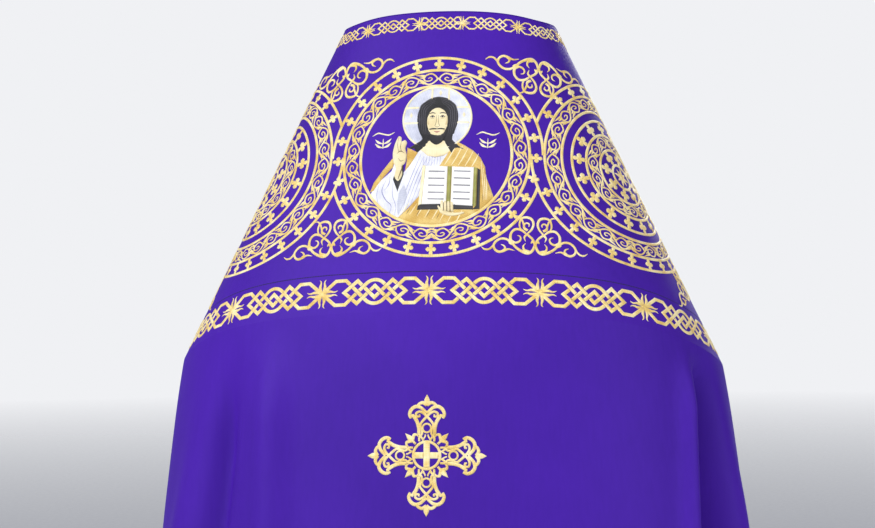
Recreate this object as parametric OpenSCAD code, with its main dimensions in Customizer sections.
// Priest's chasuble of the stiff-yoked eastern kind, standing as it hangs on a wearer.
// Millimetres, +Z up. The decorated back faces -Y, the short front faces +Y, the wearer's left is -X.
// z = 0 is the back hem, and the origin is under the middle of the whole outline.

/* [Yoke] */
// Height of the neck edge at the centre back above the back hem
neck_height = 1480; // [1380:5:1560]
// Length of cloth from the cone's missing tip to the neck edge, down the centre back
neck_cut = 282; // [260:2:310]
// Extra length of cloth cut away below the neck at the front
front_neck_drop = 145; // [110:5:165]
// Length of the yoke down the centre back, from neck edge to seam
yoke_length = 340; // [320:1:360]
// Half angle of the cone that the yoke is rolled into, seen from the back
cone_half_angle = 25.6; // [23:0.1:28]
// Forward lean of that cone's axis
cone_lean = 5.6; // [0:0.1:8]
// Depth of the cone's back half as a share of its half width
back_depth = 0.6; // [0.55:0.01:0.8]
// Depth of the cone's front half as a share of its half width
front_depth = 0.66; // [0.6:0.01:0.8]
// How much squarer than an ellipse the cone's outline is
squareness = 0.2; // [0:0.05:0.25]
// Width of the border strip below the seam
strip_width = 48; // [40:1:60]

/* [Drape] */
// Height of the front hem above the back hem
front_hem_height = 690; // [500:10:760]
// Outward slope of the hanging cloth
flare = 0.115; // [0.05:0.005:0.2]
// Extra outward roll of the cloth just below the yoke
shoulder_roll = 4; // [2:1:14]
// Half angle, round the centre back, of the back panel
back_half_angle = 54; // [45:1:60]
// Half angle, round the centre front, of the front panel
front_half_angle = 45; // [35:1:55]
// Width of the embroidered border at the hem
hem_band_width = 39; // [30:1:60]

/* [Embroidery] */
// Radius of the back and shoulder medallions
medallion_radius = 130; // [110:1:134]
// Radius of the picture inside the back medallion
icon_radius = 90; // [70:1:92]
// Radius of the two front medallions
front_medallion_radius = 84; // [60:1:90]
// Span of the cross on the back
cross_span = 139; // [110:1:180]
// Height of the cross's middle below the yoke's lower edge
cross_fall = 162; // [120:1:260]
// Span of the star above the back hem
star_span = 130; // [100:2:180]

/* [Layers] */
// Thickness of the outer cloth
cloth = 1; // [0.6:0.1:1.4]
// Thickness of the stiff interlining in the yoke
stiffener = 4; // [2:0.5:6]
// Thickness of the lining cloth
lining = 0.8; // [0.5:0.1:1]
// Height of the embroidery thread above the cloth
thread = 0.8; // [0.5:0.1:1.2]

/* [Hanger loop] */
// Radius of the eye that goes over a peg or hook
loop_radius = 10; // [8:0.5:14]
// Width of the flat cord that the loop is made of
loop_width = 4; // [3:0.5:6]

/* [Hidden] */

purple = [0.30, 0.17, 0.66];
lining_purple = [0.24, 0.15, 0.42];
gold = [0.86, 0.68, 0.32];
felt = [0.86, 0.85, 0.82];

gap = 0.2;                                  // air left between two layers of cloth
lift = 0.7;                                 // air left under embroidery, more than a facet's sag
joint_gap = 1.5;                            // air left between the yoke and the hanging panels
panel_gap = 0.7;                            // half the gap between two panels, in degrees
ring_steps = 72;
drape_rows = 8;
axis_offset = 107.3;                        // of the cone's tip towards the front
stiff_in = -cloth - gap - stiffener;        // inner face of the stiffener
lining_in = stiff_in - gap - lining;        // inner face of the yoke's lining
facing_depth = 35;                          // how far the neck facing reaches down inside
facing_in = lining_in - gap - lining;
medallion_row = 473;                        // of the back medallion's centre below the cone's tip, on the flat cloth
shoulder_row = 464;                         // and of the shoulder medallions' centres
ring_share = 0.863;                         // radius of a medallion's second circle, as a share of its first
front_medallion_angle = 142;
front_medallion_distance = 590;

function ease(t) = let (c = min(1, max(0, t))) c * c * (3 - 2 * c);
function unit(v) = v / norm(v);

// Yoke: a cone with a flattened outline. Angle 0 is the centre back, and positive is the wearer's right.
function depth_at(angle) = (cos(angle) > 0 ? back_depth : front_depth) * (1 + squareness * pow(sin(angle), 2));
function ruling(angle) =
    let (v = unit([sin(cone_half_angle) * sin(angle),
                   -depth_at(angle) * sin(cone_half_angle) * cos(angle),
                   -cos(cone_half_angle)]))
    [v.x, v.y * cos(cone_lean) + v.z * sin(cone_lean), v.z * cos(cone_lean) - v.y * sin(cone_lean)];
function outward(angle) = unit(cross(ruling(angle), ruling(angle + 0.5) - ruling(angle - 0.5)));
apex = [0, axis_offset, neck_height - neck_cut * ruling(0).z];
function on_cone(angle, distance, n) = apex + distance * ruling(angle) + n * outward(angle);

// Unrolled, the cone is a fan. fan(angle) is the fan's own angle at each angle round the cone.
fan_step = 3;
fan_table = [for (a = 0, f = 0; a <= 180; f = f + norm(ruling(a + fan_step) - ruling(a)) * 180 / PI, a = a + fan_step)
    [a, f]];
round_table = [for (pair = fan_table) [pair[1], pair[0]]];
function fan(angle) = sign(angle) * lookup(abs(angle), fan_table);
function on_flat(p, n) = on_cone(sign(p.x) * lookup(abs(atan2(p.x, p.y)), round_table), norm(p), n);

// Edges are cut straight across the back of the flat cloth, and bend to rings past a limit angle.
function bent(angle, limit) = let (f = fan(angle)) f / pow(1 + pow(abs(f) / limit, 12), 1 / 12);
function neck_edge(angle, below) =
    (neck_cut + below) / cos(bent(angle, 24)) + front_neck_drop * ease((abs(angle) - 80) / 100);
function seam_edge(angle, below) = (neck_cut + yoke_length + below) / cos(bent(angle, 31));
function neck_distance(angle) = neck_edge(angle, 0);
function seam_distance(angle) = seam_edge(angle, 0);
function strip_end(angle) = seam_edge(angle, strip_width);

// Hanging cloth: it leaves the strip's lower edge and falls with a gentle flare to the hem.
function level_outward(angle) = let (o = outward(angle)) unit([o.x, o.y, 0]);
function swing_out(fall) = shoulder_roll * (1 - exp(-fall / 42)) + flare * fall + 0.00003 * fall * fall;
function drape_top(angle) = on_cone(angle, strip_end(angle), 0) - [0, 0, joint_gap];
function hem_height(angle) = front_hem_height * ease((abs(angle) - 75) / 105);
function drape_fall(angle) = drape_top(angle).z - hem_height(angle);
function drape_point(angle, fall) = drape_top(angle) + swing_out(fall) * level_outward(angle) - [0, 0, fall];
function drape_normal(angle, fall) =
    let (side = drape_point(angle + 0.5, fall) - drape_point(angle - 0.5, fall),
         down = drape_point(angle, fall + 1) - drape_point(angle, fall))
    unit(cross(down, side));
function on_drape(angle, fall, n) = drape_point(angle, fall) + n * drape_normal(angle, fall);

// A closed sheet over the unit square. place(u, v, n) gives a point at offset n from the cloth's face.
module sheet(place, nu, nv, n_low, n_high, closed_ring = false) {
    columns = closed_ring ? nu : nu + 1;
    side = columns * (nv + 1);
    function at(i, j, layer) = layer * side + (i % columns) * (nv + 1) + j;
    points = [for (n = [n_low, n_high]) for (i = [0:columns - 1]) for (j = [0:nv]) place(i / nu, j / nv, n)];
    faces = concat(
        [for (i = [0:nu - 1]) for (j = [0:nv - 1]) each
            [[at(i, j, 1), at(i, j + 1, 1), at(i + 1, j + 1, 1)], [at(i, j, 1), at(i + 1, j + 1, 1), at(i + 1, j, 1)],
             [at(i, j, 0), at(i + 1, j + 1, 0), at(i, j + 1, 0)], [at(i, j, 0), at(i + 1, j, 0), at(i + 1, j + 1, 0)]]],
        [for (i = [0:nu - 1]) each
            [[at(i, 0, 0), at(i, 0, 1), at(i + 1, 0, 1)], [at(i, 0, 0), at(i + 1, 0, 1), at(i + 1, 0, 0)],
             [at(i, nv, 1), at(i, nv, 0), at(i + 1, nv, 0)], [at(i, nv, 1), at(i + 1, nv, 0), at(i + 1, nv, 1)]]],
        closed_ring ? [] :
        [for (j = [0:nv - 1]) each
            [[at(0, j, 1), at(0, j, 0), at(0, j + 1, 0)], [at(0, j, 1), at(0, j + 1, 0), at(0, j + 1, 1)],
             [at(nu, j, 0), at(nu, j, 1), at(nu, j + 1, 1)], [at(nu, j, 0), at(nu, j + 1, 1), at(nu, j + 1, 0)]]]);
    polyhedron(points, faces, convexity = 8);
}

// Rings round the whole yoke, between two distances down the cloth.
module yoke_ring(from, to, n_low, n_high) {
    sheet(function(u, v, n) let (a = 360 * u - 180) on_cone(a, from(a) * (1 - v) + to(a) * v, n),
          ring_steps, 1, n_low, n_high, true);
}

module yoke_cover() color(purple)
    yoke_ring(function(a) neck_distance(a), function(a) seam_distance(a) - gap, -cloth, 0);

module yoke_stiffener() color(felt)
    yoke_ring(function(a) neck_distance(a), function(a) strip_end(a), stiff_in, -cloth - gap);

module yoke_lining() color(lining_purple)
    yoke_ring(function(a) neck_distance(a), function(a) strip_end(a), lining_in, stiff_in - gap);

module border_strip() color(purple)
    yoke_ring(function(a) seam_distance(a) + gap, function(a) strip_end(a), -cloth, 0);

module neck_facing() color(purple)
    yoke_ring(function(a) neck_distance(a), function(a) neck_distance(a) + facing_depth, facing_in, lining_in - gap);

// Half-round binding that caps all the layers along the neck edge.
module neck_binding() color(purple) {
    middle = facing_in / 2;
    reach = -facing_in / 2;
    sheet(function(u, v, n) let (a = 360 * u - 180, t = 180 * v)
              on_cone(a, neck_distance(a) - 0.4 - (n + reach) * sin(t) * 0.6, middle + (n + reach) * cos(t)),
          ring_steps, 6, -1.4, 0, true);
}

module neck_band_embroidery() color(gold)
    yoke_ring(function(a) neck_edge(a, 3), function(a) neck_edge(a, 26), lift, lift + thread);

module border_band_embroidery() color(gold)
    yoke_ring(function(a) seam_edge(a, 4), function(a) seam_edge(a, 41), lift, lift + thread);

// Patches. A square grid is bent into a disc, and reach(t) gives the patch's radius in direction t.
function disc(u, v) = let (a = 2 * u - 1, b = 2 * v - 1) [a * sqrt(1 - b * b / 2), b * sqrt(1 - a * a / 2)];
function shaped(u, v, reach) = let (p = disc(u, v)) p * reach(atan2(p.y, p.x));
// A flat offset [across, down] about a centre on the hanging cloth.
function drape_step(angle, fall) = norm(drape_point(angle + 1, fall) - drape_point(angle - 1, fall)) / 2;
function drape_flat(angle, fall, p, n) = on_drape(angle + p.x / drape_step(angle, fall), fall + p.y, n);

module yoke_patch(centre, reach, steps) {
    sheet(function(u, v, n) on_flat(centre + shaped(u, v, reach), n), steps, steps, lift, lift + thread);
}

module drape_patch(angle, fall, reach, steps) {
    sheet(function(u, v, n) drape_flat(angle, fall, shaped(u, v, reach), n), steps, steps, lift, lift + thread);
}

// Each shoulder medallion's first circle touches the back medallion's second circle.
half_way = medallion_radius * (1 + ring_share) / 2;
row_lean = asin((medallion_row - shoulder_row) / 2 / half_way);
shoulder_across = 2 * half_way * cos(row_lean);
function clipped(t, towards) =
    let (c = cos(t - towards)) c > 0 ? min(medallion_radius, (half_way - 0.5) / max(c, 0.01)) : medallion_radius;

module back_medallion_embroidery() color(gold)
    sheet(function(u, v, n) let (t = 360 * u, outer = min(clipped(t, -row_lean), clipped(t, 180 + row_lean)),
                                 inner = icon_radius + 1, r = outer * (1 - v) + inner * v)
              on_flat([0, medallion_row] + r * [cos(t), sin(t)], n),
          48, 2, lift, lift + thread, true);

module icon_patch() color([0.85, 0.80, 0.62])
    yoke_patch([0, medallion_row], function(t) icon_radius, 12);

module shoulder_medallion(side) color(gold)
    yoke_patch([side * shoulder_across, shoulder_row],
               function(t) clipped(t, side > 0 ? 180 - row_lean : row_lean), 20);

front_fan = fan(front_medallion_angle);
module front_medallion(side) color(gold)
    yoke_patch(front_medallion_distance * [side * sin(front_fan), cos(front_fan)],
               function(t) front_medallion_radius, 12);

// Pairs of scrolls in the corners above and below each place where two medallions meet.
module scrolls(row, columns) color(gold)
    for (side = [-1, 1])
        for (column = columns)
            yoke_patch([side * column * half_way, row], function(t) 22 + 6 * cos(2 * t), 8);

module upper_scroll_embroidery() scrolls(362, [1]);
module lower_scroll_embroidery() scrolls(574, [1, 3]);

// Hanging panels and their linings, each between two angles.
module panel(from, to, steps, n_low, n_high, trim) {
    sheet(function(u, v, n) let (a = (from + panel_gap) * (1 - u) + (to - panel_gap) * u)
              on_drape(a, (drape_fall(a) - trim) * (0.35 * v + 0.65 * v * v), n),
          steps, drape_rows, n_low, n_high);
}

module panel_outer(from, to, steps) color(purple) panel(from, to, steps, -cloth, 0, 0);
module panel_lining(from, to, steps) color(lining_purple)
    panel(from, to, steps, -cloth - gap - lining, -cloth - gap, 8);

module hem_band(from, to, steps) color(gold)
    sheet(function(u, v, n) let (a = (from + 1.2) * (1 - u) + (to - 1.2) * u)
              on_drape(a, drape_fall(a) - 8 - hem_band_width * (1 - v), n),
          steps, 2, lift + 0.6, lift + 0.6 + thread);

front_from = 180 - front_half_angle;
module back_panel() panel_outer(-back_half_angle, back_half_angle, 18);
module back_lining() panel_lining(-back_half_angle, back_half_angle, 18);
module back_hem_band() hem_band(-back_half_angle, back_half_angle, 18);
function side_from(side) = side > 0 ? back_half_angle : -front_from;
function side_to(side) = side > 0 ? front_from : -back_half_angle;
module side_panel(side) panel_outer(side_from(side), side_to(side), 18);
module side_lining(side) panel_lining(side_from(side), side_to(side), 18);
module side_hem_band(side) hem_band(side_from(side), side_to(side), 18);

// Angles past 180 wrap round to the other side, so the front is one piece across the centre front.
function wrap(a) = a > 180 ? a - 360 : a;
module front_sheet(n_low, n_high, rows, start, end)
    sheet(function(u, v, n) let (a = wrap(front_from + start + u * 2 * (front_half_angle - start)))
              on_drape(a, end(a, v), n),
          18, rows, n_low, n_high);
module front_panel() color(purple)
    front_sheet(-cloth, 0, drape_rows, panel_gap, function(a, v) drape_fall(a) * (0.35 * v + 0.65 * v * v));
module front_lining() color(lining_purple)
    front_sheet(-cloth - gap - lining, -cloth - gap, drape_rows, panel_gap,
                function(a, v) (drape_fall(a) - 8) * (0.35 * v + 0.65 * v * v));
module front_hem_band() color(gold)
    front_sheet(lift + 0.6, lift + 0.6 + thread, 2, 1.2, function(a, v) drape_fall(a) - 8 - hem_band_width * (1 - v));

// Cross and star embroidered on the back panel.
star_fall = 960;
module back_cross() color(gold)
    drape_patch(0, cross_fall, function(t) cross_span / 2 * (0.5 + 0.5 * pow(cos(2 * t), 2)), 16);
module back_star() color(gold)
    drape_patch(0, star_fall, function(t) star_span / 2 * (0.8 + 0.2 * cos(8 * t)), 16);

// Loop of flat cord sewn inside the neck at the centre back. Its eye faces front to back.
loop_cord = 2;
loop_drop = 16;
loop_top = on_cone(0, neck_cut + 12, facing_in) + [0, loop_width / 2 + 0.3, 0];
module hanger_loop() color(purple)
    translate(loop_top)
        difference() {
            union() {
                translate([0, 0, -loop_drop - loop_radius])
                    rotate([90, 0, 0])
                        cylinder(h = loop_width, r = loop_radius + loop_cord, center = true, $fn = 64);
                translate([-3, -loop_width / 2, -loop_drop - loop_cord / 2])
                    cube([6, loop_width, loop_drop + loop_cord / 2]);
            }
            translate([0, 0, -loop_drop - loop_radius])
                rotate([90, 0, 0])
                    cylinder(h = loop_width + 2, r = loop_radius, center = true, $fn = 64);
        }

yoke_cover();
yoke_stiffener();
yoke_lining();
neck_binding();
neck_facing();
border_strip();
neck_band_embroidery();
border_band_embroidery();
back_medallion_embroidery();
icon_patch();
shoulder_medallion(-1);  // left_shoulder_medallion
shoulder_medallion(1);  // right_shoulder_medallion
front_medallion(-1);  // left_front_medallion
front_medallion(1);  // right_front_medallion
upper_scroll_embroidery();
lower_scroll_embroidery();
back_panel();
back_lining();
back_hem_band();
back_cross();
back_star();
side_panel(-1);  // left_panel
side_lining(-1);  // left_lining
side_hem_band(-1);  // left_hem_band
side_panel(1);  // right_panel
side_lining(1);  // right_lining
side_hem_band(1);  // right_hem_band
front_panel();
front_lining();
front_hem_band();
hanger_loop();
